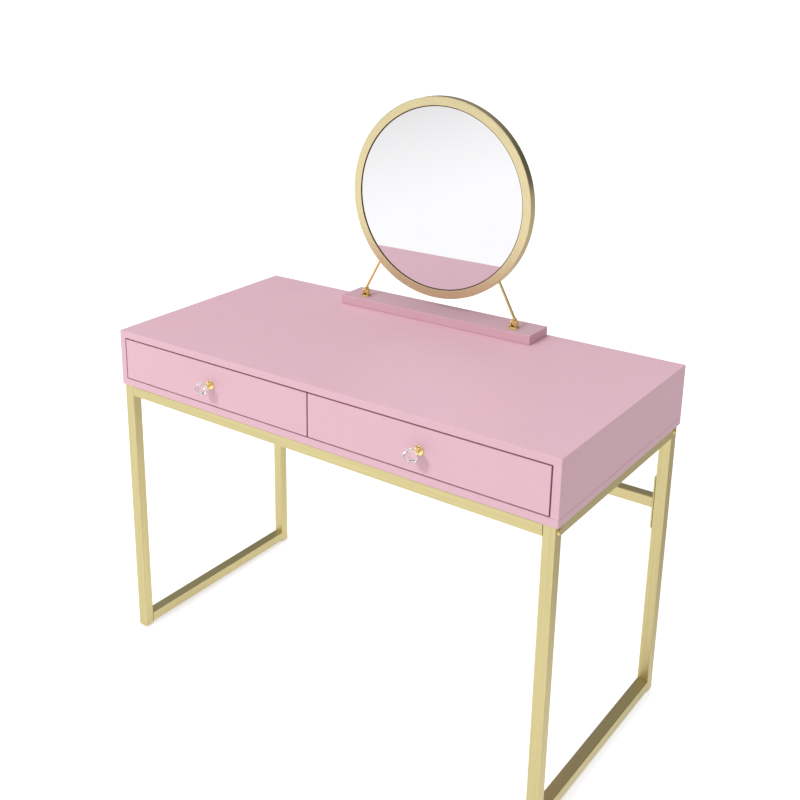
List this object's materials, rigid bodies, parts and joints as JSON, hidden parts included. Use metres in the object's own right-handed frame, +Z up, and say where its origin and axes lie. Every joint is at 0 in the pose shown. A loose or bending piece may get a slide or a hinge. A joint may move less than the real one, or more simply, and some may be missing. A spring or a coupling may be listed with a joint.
{
  "type": "vanity table with mirror",
  "caption": "Slim two-drawer vanity table on open square-tube side frames, with a round tilting mirror on a low bar at the back edge.",
  "frame": {"origin": "on the floor, under the middle of the whole part with its knobs", "axes": "+X along the table's width to the right of a person sitting at it, +Y from the drawers to the back, +Z up"},
  "size_m": [1.095, 0.605, 1.2964],
  "materials": {
    "pink_paint": "satin pink lacquer on fibreboard",
    "drawer_board": "pale laminated board",
    "gold_paint": "satin gold powder coat on square steel tube",
    "bright_gold": "polished gold plating",
    "champagne_gold": "satin champagne gold",
    "crystal": "clear cut crystal",
    "mirror_glass": "silvered glass",
    "backing_board": "brown hardboard",
    "zinc_steel": "zinc plated folded sheet",
    "clear_plastic": "frosted clear plastic"
  },
  "bodies": {
    "root": {"top_panel": "pink_paint", "bottom_panel": "pink_paint", "left_side_panel": "pink_paint", "right_side_panel": "pink_paint", "back_panel": "pink_paint", "centre_divider": "drawer_board", "left_bay_left_outer_slide": "zinc_steel", "left_bay_right_outer_slide": "zinc_steel", "right_bay_left_outer_slide": "zinc_steel", "right_bay_right_outer_slide": "zinc_steel", "front_left_leg": "gold_paint", "front_left_glide": "clear_plastic", "front_left_frame_bolt": "bright_gold", "rear_left_leg": "gold_paint", "rear_left_glide": "clear_plastic", "rear_left_frame_bolt": "bright_gold", "left_top_side_rail": "gold_paint", "left_bottom_side_rail": "gold_paint", "left_stretcher_plate": "gold_paint", "front_right_leg": "gold_paint", "front_right_glide": "clear_plastic", "front_right_frame_bolt": "bright_gold", "rear_right_leg": "gold_paint", "rear_right_glide": "clear_plastic", "rear_right_frame_bolt": "bright_gold", "right_top_side_rail": "gold_paint", "right_bottom_side_rail": "gold_paint", "right_stretcher_plate": "gold_paint", "front_top_rail": "gold_paint", "rear_top_rail": "gold_paint", "rear_stretcher": "gold_paint", "mirror_base": "pink_paint", "left_mirror_foot": "bright_gold", "right_mirror_foot": "bright_gold", "left_pivot_pin": "bright_gold", "right_pivot_pin": "bright_gold"},
    "left_drawer": {"left_drawer_front": "pink_paint", "left_drawer_left_wall": "drawer_board", "left_drawer_right_wall": "drawer_board", "left_drawer_back": "drawer_board", "left_drawer_floor": "drawer_board", "left_knob_base": "bright_gold", "left_knob_crystal": "crystal", "left_drawer_left_inner_slide": "zinc_steel", "left_drawer_right_inner_slide": "zinc_steel"},
    "right_drawer": {"right_drawer_front": "pink_paint", "right_drawer_left_wall": "drawer_board", "right_drawer_right_wall": "drawer_board", "right_drawer_back": "drawer_board", "right_drawer_floor": "drawer_board", "right_knob_base": "bright_gold", "right_knob_crystal": "crystal", "right_drawer_left_inner_slide": "zinc_steel", "right_drawer_right_inner_slide": "zinc_steel"},
    "mirror": {"mirror_ring": "champagne_gold", "mirror_glass": "mirror_glass", "mirror_backing": "backing_board", "left_mirror_rod": "bright_gold", "right_mirror_rod": "bright_gold"}
  },
  "joints": [
    {"name": "left_drawer_slide", "type": "slide", "parent": "root", "child": "left_drawer", "axis": [0, -1, 0], "range_m": [0, 0.3]},
    {"name": "right_drawer_slide", "type": "slide", "parent": "root", "child": "right_drawer", "axis": [0, -1, 0], "range_m": [0, 0.3]},
    {"name": "mirror_tilt", "type": "hinge", "parent": "root", "child": "mirror", "pos_m": [-0.011, 0.2425, 0.8124], "axis": [-1, 0, 0], "range_deg": [-5, 15]}
  ]
}
